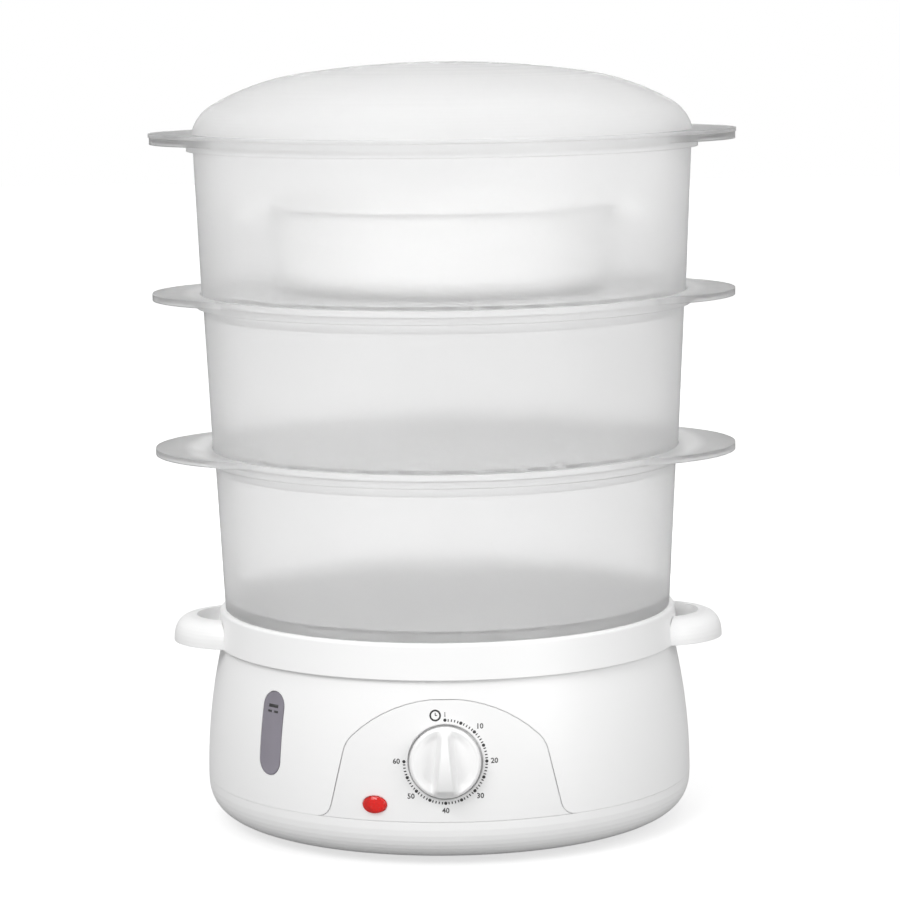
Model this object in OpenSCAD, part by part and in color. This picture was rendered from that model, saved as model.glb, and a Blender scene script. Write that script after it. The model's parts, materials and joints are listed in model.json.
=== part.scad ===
// Three-tier electric food steamer: heated base with a clockwork timer, three
// nesting clear baskets, a bowl for rice or soup and a domed lid.
// Millimetres, +Z up. The origin is on the table, on the axis of the round base,
// and -Y is the front.

/* [Base] */
// Gap between the table and the underside of the base
foot_gap = 2.5; // [1.5:0.1:4]
// Height of the bottom pan, up to the line round the base
pan_h = 20; // [18:0.5:24]
// Width of the rounded edge between the flat underside and the widest line
pan_round_w = 22.7; // [20:0.1:25]
// Radius of the widest line of the base
base_r = 119.7; // [118:0.1:123]
// Height of the housing wall, up to the tank's ring
housing_h = 66; // [64:0.5:72]
// Radius of the arc along which the housing wall leans in
housing_arc_r = 282; // [270:1:330]
// Wall thickness of the base mouldings
base_wall = 2.2; // [1.8:0.1:2.6]
// Radius of a rubber foot
foot_r = 8; // [6:0.5:10]
// Radius of the circle that the feet stand on
foot_ring_r = 70; // [60:1:76]

/* [Tank] */
// Height of the white ring above the housing
ring_h = 17; // [16:0.5:20]
// How far the ring stands out from the top of the housing wall
ring_out = 2.4; // [1.8:0.1:3.4]
// How far the ring leans in from its lower edge to its top
ring_lean_in = 1.8; // [1:0.1:2.4]
// Width of the ring's top
ring_w = 4.9; // [4.4:0.1:5.4]
// Depth of the drip tray's ledge below the ring's top
ledge_depth = 15.5; // [14.5:0.5:16.5]
// Width of the drip tray's ledge
ledge_w = 4.6; // [4.2:0.1:5]
// Height of the upper tank's floor above the pan's flat underside
tank_floor_h = 69.5; // [68:0.5:70]
// Width of the shallow floor round the deep part of the tank
tank_shelf_w = 27; // [26:0.5:28]
// Height of the sump floor above the pan's flat underside
sump_floor_h = 37.5; // [36.5:0.5:38.5]
// Radius of the hole for the heater
heater_hole_r = 30; // [29.5:0.1:30.5]

/* [Side scoops] */
// How far a scoop's own axis lies inside the ring's lower edge
scoop_in = 12.6; // [11:0.1:14]
// Radius of a scoop's skirt about its own axis
scoop_skirt_r = 34.3; // [33.5:0.1:36]
// Radius of a scoop's opening
scoop_mouth_r = 24.5; // [23:0.5:26]
// Drop from the ring's top to a scoop's rim
scoop_drop = 4.6; // [4:0.1:5.5]
// Width of the filling slot between scoop and tank
inlet_w = 34; // [28:1:38]

/* [Control panel] */
// Height of the arched panel above the line round the base
panel_h = 57.5; // [56:0.5:60]
// Radius of the arch
panel_arch_r = 62; // [60:1:66]
// Radius of the arch's shoulders
panel_shoulder_r = 16; // [12:1:20]
// Lean of the panel's sides, in degrees
panel_lean = 13.2; // [10:0.1:15]
// Radius of the flare where a side meets the line round the base
panel_flare_r = 7; // [5:0.5:9]
// Joint gap round the panel
panel_gap = 0.3; // [0.2:0.05:0.4]
// Width of the lip behind the panel's edge
panel_lip = 3; // [2:0.5:4]
// Oval lamp lens, width
lens_w = 11.7; // [10:0.1:13]
// Oval lamp lens, height
lens_h = 7.8; // [6.8:0.1:9]
// Angle of the lens to the left of the front, in degrees
lens_angle = 16.1; // [15:0.1:18]
// Height of the lens above the line round the base
lens_up = 7.9; // [7.4:0.1:10]

/* [Water level window] */
// Angle of the window to the left of the front, in degrees
gauge_angle = 45; // [42:1:50]
// Height of the window
gauge_h = 39.4; // [36:0.1:41]
// Width of the window
gauge_w = 14.2; // [12:0.1:15]
// Height of the window's centre above the line round the base
gauge_up = 35.2; // [34:0.1:37]

/* [Timer] */
// Height of the knob's axis above the line round the base
knob_up = 28.5; // [27:0.5:30]
// Radius of the knob
knob_r = 16.6; // [15.6:0.1:17.4]
// Gap round the knob in its recess
knob_gap = 0.9; // [0.6:0.1:1.2]
// Depth of the recess in the panel
recess_depth = 2.2; // [2:0.1:2.6]
// How far the knob's face stands out of the panel
knob_out = 6; // [5:0.1:7]
// How far the knob's grip stands out of its face
grip_out = 7.5; // [6:0.5:9]
// Length of the grip
grip_l = 30; // [26:0.5:32]
// Width of the grip's lower end
grip_w = 10; // [8:0.5:12]
// Width of the grip's upper end
grip_top_w = 5.4; // [4:0.1:7]
// Radius of the timer's spindle
spindle_r = 3; // [2.5:0.1:3.2]
// Width of the timer
timer_w = 42; // [40:1:44]
// Height of the timer
timer_h = 34; // [32:1:35]
// Depth of the timer's case
timer_d = 23; // [22:0.5:24]

/* [Rear cord gland] */
// How far the gland's sleeve stands out of the rear wall
gland_sleeve_l = 12.4; // [8:0.1:20]

/* [Baskets] */
// Height that each basket adds to the stack
basket_pitch = 76; // [70:1:84]
// Depth to which each basket nests in the rim below
plug_h = 7.5; // [7:0.5:9]
// Wall thickness of the baskets
basket_wall = 2; // [1.6:0.1:2.4]
// Thickness of the basket floors
basket_floor = 2; // [1.6:0.1:2.6]
// Height of the basket floors above their seats
floor_up = 3; // [0:0.5:6]
// Width of the step on which the lowest basket sits
basket_1_seat_w = 2.3; // [2:0.1:2.8]
// How far the lowest basket widens from seat to rim
basket_1_flare = 3.6; // [3:0.1:4.2]
// Width of the step on which the middle basket sits
basket_2_seat_w = 2.9; // [2.5:0.1:3.3]
// How far the middle basket widens from seat to rim
basket_2_flare = 3.4; // [2.8:0.1:4]
// Width of the step on which the top basket sits
basket_3_seat_w = 2.6; // [2.2:0.1:3]
// How far the top basket widens from seat to rim
basket_3_flare = 2.9; // [2.4:0.1:3.5]
// Height of the rim's collar above the seat inside it
collar_h = 3.6; // [3:0.1:4.5]
// Depth of the rim's band below that seat
band_drop = 3; // [2.4:0.1:4]
// Radial gap between a basket's foot and the rim round it
nest_gap = 0.5; // [0.4:0.05:0.7]
// Diameter of the steam holes
hole_d = 6; // [4:0.5:7]
// Spacing of the rings of steam holes
hole_ring = 17; // [15:0.5:19]

/* [Ears] */
// Reach of an ear's tip past the top basket's rim
ear_reach = 18.2; // [15:0.1:24]
// Radius of an ear's round outline
ear_r = 70.8; // [66:0.1:76]
// Radius of the fillet between ear and rim
ear_fillet_r = 25; // [18:1:30]
// Thickness of the ears and rims
ear_t = 1.9; // [1.6:0.1:2.4]
// Depth of the lip round the ears and rims
ear_lip = 3.4; // [2.8:0.1:4.5]
// Thickness of that lip
ear_lip_t = 1.5; // [1.2:0.1:2]

/* [Rice bowl] */
// Outer radius of the bowl
bowl_r = 84; // [78:0.5:88]
// Height of the bowl
bowl_h = 42.3; // [38:0.1:48]
// Wall thickness of the bowl
bowl_wall = 1.8; // [1.4:0.1:2.4]
// Radius of the bowl's lower corner
bowl_corner_r = 10; // [8:0.5:12]
// Reach of the bowl's side grips from the axis
bowl_grip_reach = 103; // [98:0.5:106]
// Width of the bowl's side grips
bowl_grip_w = 46; // [36:1:56]
// Depth of the grips' turned-down edge
bowl_grip_drop = 8; // [6:0.5:10]

/* [Lid] */
// Height of the lid above its seat
lid_h = 34.9; // [34.6:0.1:40]
// Radius at which the flat crown ends
lid_crown_end_r = 70; // [66:1:74]
// Radius of curvature of the crown
lid_crown_arc = 480; // [450:10:560]
// Width of the lid's shoulder, in from its rim
lid_shoulder_w = 10; // [9:0.5:10.5]
// Slope where the shoulder starts, in degrees
lid_shoulder_slope = 30; // [28:1:32]
// Slope where the shoulder ends, in degrees
lid_rim_slope = 78; // [74:1:82]
// Wall thickness of the lid
lid_wall = 1.8; // [1.5:0.1:2.2]
// Thickness of the lid's ears
lid_ear_t = 1.7; // [1.4:0.1:2.2]
// How far the lid's ears reach past the basket's
lid_ear_over = 0.5; // [0.2:0.1:1]
// Depth of the ring that keeps the lid in place
lid_spigot_h = 5; // [4:0.5:7]

/* [Hidden] */
$fn = 96;
eps = 0.01;
fit = 0.05;
clear = 0.3;

z_pan = foot_gap;
z_line = z_pan + pan_h;
z_seam = z_line + housing_h;
z_ring = z_seam + ring_h;
z_ledge = z_ring - ledge_depth;
z_tank = z_pan + tank_floor_h;
z_sump = z_pan + sump_floor_h;

z_seat = [for (i = [0:3]) z_ring + i * basket_pitch];

function arc(c, r, a0, a1, n) =
  [for (i = [0:n]) let (a = a0 + (a1 - a0) * i / n) c + r * [cos(a), sin(a)]];
function ellipse_pts(a, b, n) = [for (i = [0:n - 1]) [a * cos(360 * i / n), b * sin(360 * i / n)]];
function mirrored(pts) = [for (i = [len(pts) - 1:-1:0]) [-pts[i].x, pts[i].y]];
function turned(pts) = [for (p = pts) -p];

// Radius and lean of the housing wall at height z
function wall_r(z) = base_r - housing_arc_r + sqrt(pow(housing_arc_r, 2) - pow(z - z_line, 2));
function wall_lean(z) = asin((z - z_line) / housing_arc_r);
function wall_path(z0, z1, inset, n) =
  [for (i = [0:n]) let (z = z0 + (z1 - z0) * i / n) [wall_r(z) - inset, z]];

// The ring sits on the wall, the tank hangs in the ring, and each basket sits on the mouth below it
pan_flat_r = base_r - pan_round_w;
ring_skirt_r = wall_r(z_seam) + ring_out;
ring_top_r = ring_skirt_r - ring_lean_in;
ring_mouth_r = ring_top_r - ring_w;
tank_upper_r = ring_mouth_r - ledge_w;
sump_r = tank_upper_r - tank_shelf_w;
scoop_x = ring_skirt_r - scoop_in;
seat_w = [basket_1_seat_w, basket_2_seat_w, basket_3_seat_w];
flare = [basket_1_flare, basket_2_flare, basket_3_flare];
function mouth(i) = i == 0 ? ring_mouth_r : basket_rim(i - 1) - basket_wall;
function basket_foot(i) = mouth(i) + seat_w[i];
function basket_rim(i) = basket_foot(i) + flare[i];
// The collar of each rim clears the foot that it takes, and its wall holds the lip of the ears
lip_root = 0.4;
function collar_r(i) = mouth(i + 1) + max(seat_w) + nest_gap;
function flange_r(i) = collar_r(i) + ear_lip_t + lip_root;
top_flange_r = flange_r(2);
ear_tip_r = top_flange_r + ear_reach;

// Superellipse from the flat underside up to the widest line
pan_n = 2.5;
function pan_path(inset, n) = [for (i = [n:-1:0]) let (a = 90 * i / n)
  [pan_flat_r + (base_r - inset - pan_flat_r) * pow(cos(a), 2 / pan_n),
   z_line - (pan_h - inset) * pow(sin(a), 2 / pan_n)]];

module ring_of(n, r, start = 0) {
  for (i = [0:n - 1]) rotate([0, 0, start + i * 360 / n]) translate([r, 0, 0]) children();
}
module both_sides() {
  children();
  rotate([0, 0, 180]) children();
}
// Frame on the housing wall: origin on the outer face, z outwards, y up the wall
module on_wall(angle, z) {
  rotate([0, 0, angle]) translate([0, -wall_r(z), z]) rotate([90 - wall_lean(z), 0, 0]) children();
}
module tube(h, r_out, r_in) {
  difference() {
    cylinder(h = h, r = r_out);
    translate([0, 0, -eps]) cylinder(h = h + 2 * eps, r = r_in);
  }
}

// ---- Bottom pan, feet and case screws ----
post_in = 13;
post_ring_r = tank_upper_r - post_in;
post_angle = 25;
post_angles = [post_angle, 180 - post_angle, 180 + post_angle, 360 - post_angle];
post_r = 4.5;
pan_post_r = 6;
pan_post_top = z_pan + 9;
screw_head_r = 3.5;
screw_head_h = 2.4;
screw_shank_r = 1.7;
screw_l = 18;
screw_seat_h = 2;
foot_recess = 0.8;
pan_lip_h = 2;
pan_lip_t = 1.6;
vent_w = 3;
vent_l = 26;
vent_gap = 7;
vent_count = 7;

module at_posts() {
  for (a = post_angles) rotate([0, 0, a]) translate([post_ring_r, 0, 0]) children();
}
module at_feet() {
  ring_of(4, foot_ring_r, 45) children();
}

module bottom_pan() color("whitesmoke") difference() {
  union() {
    rotate_extrude() polygon(concat(
      [[0, z_pan]], pan_path(0, 12), [[base_r - base_wall, z_line]],
      [[base_r - base_wall - clear, z_line], [base_r - base_wall - clear, z_line + pan_lip_h],
       [base_r - base_wall - clear - pan_lip_t, z_line + pan_lip_h]],
      [for (i = [12:-1:0]) pan_path(base_wall, 12)[i] - [i == 12 ? clear + pan_lip_t : 0, 0]],
      [[0, z_pan + base_wall]]));
    at_posts() translate([0, 0, z_pan]) cylinder(h = pan_post_top - z_pan, r = pan_post_r);
  }
  at_posts() {
    translate([0, 0, z_pan - 1])
      cylinder(h = pan_post_top - z_pan - screw_seat_h + 1, r = screw_head_r + clear);
    translate([0, 0, z_pan]) cylinder(h = pan_post_top, r = screw_shank_r + clear);
  }
  at_feet() translate([0, 0, z_pan - 1]) cylinder(h = 1 + foot_recess, r = foot_r + fit);
  for (i = [0:vent_count - 1]) translate([(i - (vent_count - 1) / 2) * vent_gap - vent_w / 2,
    -vent_l / 2, z_pan - 1]) cube([vent_w, vent_l, base_wall + 2]);
}

module feet() color("dimgray") at_feet() {
  cylinder(h = foot_gap + foot_recess, r = foot_r);
}

module case_screws() color("silver") at_posts() {
  translate([0, 0, pan_post_top - screw_seat_h - screw_head_h]) difference() {
    cylinder(h = screw_head_h, r = screw_head_r);
    for (a = [0, 90]) rotate([0, 0, a]) translate([-screw_head_r * 0.6, -0.5, -eps])
      cube([screw_head_r * 1.2, 1, screw_head_h / 2]);
  }
  translate([0, 0, pan_post_top - screw_seat_h - eps]) cylinder(h = screw_l, r = screw_shank_r);
}

// ---- Arched outline shared by the housing's opening and the panel ----
shoulder_at = 45;
arch_c = [0, z_line + panel_h - panel_arch_r];
shoulder_c = arch_c + (panel_arch_r - panel_shoulder_r) * [sin(shoulder_at), cos(shoulder_at)];
side_top = shoulder_c + panel_shoulder_r * [cos(panel_lean), sin(panel_lean)];
flare_z = z_line + panel_flare_r;
flare_c = [side_top.x + (side_top.y - flare_z) * tan(panel_lean) + panel_flare_r / cos(panel_lean), flare_z];

// Right half from the foot up, then the left half; grow widens the outline
function panel_half(grow) =
  let (fr = panel_flare_r - grow,
       foot_a = 180 + asin(min(1, panel_flare_r / fr)))
  concat(
    [[(flare_c + fr * [cos(foot_a), sin(foot_a)]).x, z_line]],
    arc(flare_c, fr, foot_a, 180 + panel_lean, 5),
    arc(shoulder_c, panel_shoulder_r + grow, panel_lean, 90 - shoulder_at, 5),
    arc(arch_c, panel_arch_r + grow, 90 - shoulder_at + 6, 84, 6));
module panel_outline(grow) polygon(concat(panel_half(grow), mirrored(panel_half(grow))));
// Prism of the outline, from the axis to the front
module panel_prism(grow) {
  rotate([90, 0, 0]) linear_extrude(base_r + 1) panel_outline(grow);
}

// ---- Outer housing ----
lip_h = 2.5;
lip_t = 1.8;
cord_hole_r = 6.5;
cord_hole_up = 12;

module wall_shell(out, inn, z0, z1) {
  rotate_extrude() polygon(concat(wall_path(z0, z1, out, 10),
    [for (i = [10:-1:0]) wall_path(z0, z1, inn, 10)[i]]));
}
module capsule(w, h) {
  translate([0, (h - w) / 2]) circle(d = w);
  translate([0, -(h - w) / 2]) circle(d = w);
  translate([-w / 2, -(h - w) / 2]) square([w, h - w]);
}
z_gauge = z_line + gauge_up;
// Frame of the window: z outwards along the radius, y up, origin on the axis
module at_gauge() {
  rotate([0, 0, -gauge_angle]) translate([0, 0, z_gauge]) rotate([90, 0, 0]) children();
}
module outer_housing() color("whitesmoke") difference() {
  union() {
    wall_shell(0, base_wall, z_line, z_seam);
    translate([0, 0, z_seam - 5]) tube(5 + lip_h, wall_r(z_seam) - clear, wall_r(z_seam) - clear - lip_t);
  }
  panel_prism(0);
  at_gauge() translate([0, 0, sump_r]) linear_extrude(base_r)
    capsule(gauge_w + 2 * clear, gauge_h + 2 * clear);
  translate([0, wall_r(z_cord) - gland_in, z_cord]) rotate([-90, 0, 0])
    cylinder(h = 2 * gland_in, r = cord_hole_r + fit);
}

// ---- Control panel ----
z_knob = z_line + knob_up;
knob_recess_r = knob_r + knob_gap;
recess_wall = 3;
knob_wall = 1.8;
timer_screw_r = 1.5;
timer_head_r = 2.8;
timer_screw_x = knob_r - knob_wall - timer_head_r - 0.5;
z_lens = z_line + lens_up;

module at_knob() on_wall(0, z_knob) children();
module at_lens() on_wall(-lens_angle, z_lens) children();
module lens_prism(grow, h) linear_extrude(h) polygon(ellipse_pts(lens_w / 2 + grow, lens_h / 2 + grow, 40));

panel_rib = 1.5;
lip_back = base_wall + 1.5;
// Band of the wall, from depth d0 to d1, between two outlines
module panel_band(d0, d1, grow, hole) difference() {
  intersection() {
    wall_shell(d0, d1, z_line, z_line + panel_h + panel_lip);
    panel_prism(grow);
  }
  translate([0, 0, -eps]) panel_prism(hole);
}

module control_panel() color("white") difference() {
  union() {
    intersection() {
      wall_shell(0, base_wall, z_line, z_line + panel_h + panel_lip);
      panel_prism(-panel_gap);
    }
    panel_band(base_wall / 2, lip_back, -panel_gap, -panel_gap - panel_rib);
    panel_band(base_wall + clear, lip_back, panel_lip, -panel_gap - panel_rib / 2);
    at_knob() translate([0, 0, -recess_depth - recess_wall])
      cylinder(h = recess_wall, r = knob_recess_r + recess_wall);
  }
  at_knob() {
    translate([0, 0, -recess_depth]) cylinder(h = recess_depth + 5, r = knob_recess_r);
    translate([0, 0, -12]) cylinder(h = 20, r = spindle_r + 0.6);
    for (s = [-1, 1]) translate([s * timer_screw_x, 0, -12]) cylinder(h = 20, r = timer_screw_r + 0.2);
  }
  at_lens() translate([0, 0, -8]) lens_prism(0.2, 16);
  // Foot of the panel, clear of the pan's lip
  tube(z_line + pan_lip_h + 0.5, base_r - base_wall - clear + 0.2, base_r - 30);
}

// ---- Lamp ----
lens_dome_h = 2.2;
lens_flange = 1.2;
lens_seat = base_wall;
lens_dome_r = (pow(lens_w / 2, 2) + pow(lens_dome_h, 2)) / (2 * lens_dome_h);
bulb_r = 3;
bulb_l = 11;

module lamp_lens() color("red") at_lens() {
  intersection() {
    translate([0, 0, -lens_seat - 1]) lens_prism(0, 20);
    translate([0, 0, 0.4 + lens_dome_h - lens_dome_r]) union() {
      sphere(r = lens_dome_r);
      mirror([0, 0, 1]) cylinder(h = 12, r = lens_dome_r);
    }
  }
  translate([0, 0, -lens_seat - 1.8]) lens_prism(lens_flange, 1.3);
}
lens_back = lens_seat + 1.8;
holder_floor = 2;
holder_l = holder_floor + bulb_l + 0.5;
module lamp_holder() color("black") at_lens() translate([0, 0, -lens_back - holder_l]) difference() {
  cylinder(h = holder_l, r = bulb_r + 1.4);
  translate([0, 0, holder_floor]) cylinder(h = holder_l, r = bulb_r + fit);
}
module neon_lamp() color("orange") at_lens() translate([0, 0, -lens_back - holder_l + holder_floor]) {
  cylinder(h = bulb_l - bulb_r, r = bulb_r);
  translate([0, 0, bulb_l - bulb_r]) sphere(r = bulb_r);
}

// ---- Water tank ----
tank_wall = 2;
pocket_w = 19;
pocket_wall = 2;
pocket_in = 6;
pocket_end = tank_upper_r + 2 + 0.4;
pocket_h = gauge_h + 6;
tray_step = 2;
ring_round = 1.8;
skirt_t = 2.2;
inlet_h = 6;
scoop_floor_up = 2.8;
scoop_floor_t = 1.8;
scoop_wall = 2;

scoop_top = z_ring - scoop_drop;
hood_n = 2.4;
hood_h = scoop_top - z_seam;
function hood_path(inset, n) = [for (i = [0:n]) let (a = 90 * i / n)
  [scoop_mouth_r + (scoop_skirt_r - scoop_mouth_r - inset) * pow(cos(a), 2 / hood_n),
   z_seam + (hood_h - inset) * pow(sin(a), 2 / hood_n)]];

module hood() difference() {
  rotate_extrude() polygon(concat(hood_path(0, 10), [for (i = [10:-1:0]) hood_path(scoop_wall, 10)[i]]));
  translate([-scoop_x, 0, z_seam - 1]) cylinder(h = ring_h, r = ring_skirt_r - 1);
}
module scoop_bowl() difference() {
  translate([0, 0, z_seam + scoop_floor_up]) union() {
    cylinder(h = scoop_floor_t, r = scoop_mouth_r + eps);
    tube(hood_h - scoop_floor_up, scoop_mouth_r + eps, scoop_mouth_r - 1.8);
  }
  translate([-scoop_x, 0, z_seam]) cylinder(h = ring_h, r = ring_mouth_r + 1);
}

module water_tank() color("white") difference() {
  union() {
    rotate_extrude() polygon(concat(
      [[heater_hole_r, z_sump - base_wall], [sump_r - 2 + tank_wall, z_sump - base_wall],
       [sump_r + tank_wall, z_tank - base_wall], [tank_upper_r - 1.5 + tank_wall, z_tank - base_wall],
       [tank_upper_r + tank_wall, z_ledge - tray_step], [ring_mouth_r + tank_wall, z_ledge - tray_step],
       [ring_mouth_r + tank_wall, z_ring - 2.4], [ring_skirt_r - skirt_t - 0.9, z_ring - 2.4],
       [ring_skirt_r - skirt_t, z_seam], [ring_skirt_r, z_seam]],
      arc([ring_top_r - ring_round, z_ring - ring_round], ring_round, 0, 90, 5),
      [[ring_mouth_r, z_ring], [ring_mouth_r, z_ledge], [tank_upper_r, z_ledge],
       [tank_upper_r - 1.5, z_tank], [sump_r, z_tank], [sump_r - 2, z_sump], [heater_hole_r, z_sump]]));
    both_sides() translate([scoop_x, 0, 0]) {
      hood();
      scoop_bowl();
    }
    at_posts() translate([0, 0, pan_post_top]) cylinder(h = z_tank - pan_post_top - 1, r = post_r);
    difference() {
      at_gauge() translate([-pocket_w / 2, -pocket_h / 2, sump_r - pocket_in])
        cube([pocket_w, pocket_h, pocket_end - sump_r + pocket_in]);
      translate([0, 0, z_tank]) cylinder(h = ring_h + tank_floor_h, r = tank_upper_r - 0.5);
      translate([0, 0, z_sump]) cylinder(h = z_tank - z_sump + eps, r1 = sump_r - 2.3, r2 = sump_r - 0.3);
    }
  }
  at_gauge() translate([-pocket_w / 2, -pocket_h / 2, sump_r - pocket_in] + pocket_wall * [1, 1, 1])
    cube([pocket_w - 2 * pocket_wall, pocket_h - 2 * pocket_wall, pocket_end]);
  both_sides() translate([ring_mouth_r - 4, -inlet_w / 2, z_seam + scoop_floor_up + scoop_floor_t])
    cube([ring_skirt_r - ring_mouth_r + 4.5, inlet_w, inlet_h]);
  at_posts() translate([0, 0, pan_post_top - 1]) cylinder(h = screw_l + 1, r = screw_shank_r + fit);
}

// ---- Water level window ----
seal_t = 1.2;
seal_w = 3;
window_flange = 2;

module gauge_window() color("lightsteelblue", 0.6) {
  intersection() {
    wall_shell(0, base_r - pocket_end, z_line + 1, z_seam - 1);
    at_gauge() translate([0, 0, pocket_end + seal_t]) linear_extrude(base_r) capsule(gauge_w, gauge_h);
  }
  at_gauge() translate([0, 0, pocket_end + seal_t]) linear_extrude(window_flange)
    capsule(pocket_w, pocket_h);
}
module gauge_seal() color("dimgray") at_gauge() translate([0, 0, pocket_end])
  linear_extrude(seal_t) difference() {
    capsule(pocket_w, pocket_h);
    capsule(pocket_w - 2 * seal_w, pocket_h - 2 * seal_w);
  }

// ---- Heater ----
heater_r = 37;
plate_t = 1;
plate_rise = 4.5;
element_r = 3.2;
element_ring_r = 19.5;
element_gap = 60;
leg_r = 3.5;
stud_r = 2;
stud_ring_r = 25;
stud_l = 13;
clamp_t = 2;
clamp_r = 38;
leg_l = 14;
pin_l = 5;
thermostat_r = 8;
z_plate = z_sump + 1.5;
z_plate_under = z_plate + plate_rise - plate_t;
z_clamp = z_sump - base_wall - clamp_t;

module at_studs() ring_of(3, stud_ring_r, 60) children();
module at_legs() {
  for (s = [-1, 1]) rotate([0, 0, 180 + s * element_gap / 2]) translate([element_ring_r, 0, 0]) children();
}
module heater_seal() color("lightgray") rotate_extrude() polygon([
  [heater_hole_r - 0.1, z_sump - base_wall], [heater_hole_r - 0.1, z_sump],
  [heater_r, z_sump], [heater_r, z_plate],
  [heater_hole_r - 1.2, z_plate], [heater_hole_r - 1.2, z_sump - base_wall]]);

module heater_plate() color("silver") {
  rotate_extrude() polygon([
    [0, z_plate_under], [heater_hole_r - 4.5, z_plate_under], [heater_hole_r - 1, z_plate],
    [heater_r, z_plate], [heater_r, z_plate + plate_t], [heater_hole_r - 0.5, z_plate + plate_t],
    [heater_hole_r - 4, z_plate_under + plate_t], [0, z_plate_under + plate_t]]);
  at_studs() translate([0, 0, z_plate_under - stud_l]) cylinder(h = stud_l + eps, r = stud_r);
}

module heater_tube() color("dimgray") translate([0, 0, z_plate_under - element_r]) {
  difference() {
    rotate_extrude() translate([element_ring_r, 0]) circle(r = element_r, $fn = 32);
    linear_extrude(4 * element_r, center = true) polygon([[0, 0],
      [-2 * element_ring_r, -2 * element_ring_r * tan(element_gap / 2)],
      [-2 * element_ring_r, 2 * element_ring_r * tan(element_gap / 2)]]);
  }
  at_legs() {
    translate([0, 0, -leg_l]) cylinder(h = leg_l + element_r - 0.5, r = leg_r);
    translate([0, 0, -leg_l - pin_l]) cylinder(h = pin_l + 1, r = wire_r, $fn = 24);
  }
}

module heater_clamp() color("silver") difference() {
  translate([0, 0, z_clamp]) cylinder(h = clamp_t, r = clamp_r);
  translate([0, 0, z_clamp - 1]) {
    cylinder(h = clamp_t + 2, r = thermostat_r + 0.3);
    at_studs() cylinder(h = clamp_t + 2, r = stud_r + fit);
    at_legs() cylinder(h = clamp_t + 2, r = leg_r + 1);
  }
}

nut_r = 4;
nut_h = 3.2;
module heater_nuts() color("silver") at_studs() translate([0, 0, z_clamp - nut_h]) difference() {
  cylinder(h = nut_h, r = nut_r, $fn = 6);
  translate([0, 0, -1]) cylinder(h = nut_h + 2, r = stud_r + fit);
}

thermostat_drop = 5;
tag_l = 8;
tag_w = 6;
tag_t = 0.8;
tag_y = 4;
z_tag = z_clamp - thermostat_drop - tag_l;
module thermostat() color("tan") {
  translate([0, 0, z_clamp - thermostat_drop])
    cylinder(h = z_plate_under - z_clamp + thermostat_drop, r = thermostat_r);
  for (s = [-1, 1]) translate([-tag_w / 2, s * tag_y - tag_t / 2, z_tag]) cube([tag_w, tag_t, tag_l + 1]);
}

fuse_r = 2.2;
fuse_l = 16;
fuse_y = -16;
module thermal_fuse() color("gold") translate([0, fuse_y, z_clamp - fuse_r]) {
  translate([-fuse_l / 2, 0, 0]) rotate([0, 90, 0]) cylinder(h = fuse_l, r = fuse_r, $fn = 32);
  translate([-3, -fuse_r - 1, fuse_r - 1]) cube([6, 2 * fuse_r + 2, 1]);
}

// ---- Timer ----
timer_face = recess_depth + recess_wall;
case_t = 1;
bell_r = 13;
bell_h = 3;
bell_post_r = 2.5;
bell_gap = 1.5;

module timer_plate() color("silver") at_knob() translate([0, 0, -timer_face - case_t]) difference() {
  translate([-timer_w / 2, -timer_h / 2, 0]) cube([timer_w, timer_h, case_t]);
  translate([0, 0, -1]) cylinder(h = 4, r = spindle_r + fit);
  for (s = [-1, 1]) translate([s * timer_screw_x, 0, -1]) cylinder(h = 4, r = timer_screw_r + fit);
}
timer_back = timer_face + timer_d;
module timer_case() color("gainsboro") at_knob() translate([0, 0, -timer_back]) {
  difference() {
    translate([-timer_w / 2, -timer_h / 2, 0]) cube([timer_w, timer_h, timer_d - case_t]);
    translate([-timer_w / 2 + case_t, -timer_h / 2 + case_t, case_t])
      cube([timer_w - 2 * case_t, timer_h - 2 * case_t, timer_d]);
    // Slot under the case for the contact tags
    translate([-10.8, -timer_h / 2 - 1, case_t + 6]) cube([21.6, 3, 2.6]);
  }
  translate([0, 0, -bell_gap]) cylinder(h = bell_gap + eps, r = bell_post_r);
}
module timer_bell() color("silver") at_knob() translate([0, 0, -timer_back - bell_gap - bell_h])
  difference() {
    cylinder(h = bell_h, r = bell_r);
    translate([0, 0, -1]) cylinder(h = bell_h, r = bell_r - 1);
  }
module timer_screws() color("silver") at_knob() for (s = [-1, 1]) translate([s * timer_screw_x, 0, 0]) {
  translate([0, 0, -timer_face - case_t - 2]) cylinder(h = recess_wall + case_t + 2 + eps, r = timer_screw_r);
  translate([0, 0, -recess_depth]) cylinder(h = 1.2, r = timer_head_r);
}
spindle_out = 3;
spindle_flat = 0.6;
module timer_spindle() color("silver") at_knob() difference() {
  translate([0, 0, -timer_back + case_t + 0.5])
    cylinder(h = timer_back - case_t - 0.5 + spindle_out, r = spindle_r);
  translate([spindle_r * spindle_flat, -5, -recess_depth + 1]) cube([10, 10, 20]);
}
cam_r = 7;
cam_t = 3;
cam_at = 9;
module timer_cam() color("ivory") at_knob() translate([0, 0, -timer_face - cam_at]) difference() {
  cylinder(h = cam_t, r = cam_r);
  translate([0, 0, -1]) cylinder(h = cam_t + 2, r = spindle_r + fit);
  rotate([0, 0, 270]) translate([cam_r - 1.6, -1.5, -1]) cube([5, 3, cam_t + 2]);
}
barrel_r = 8;
barrel_t = 9;
movement_y = 5;
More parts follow.
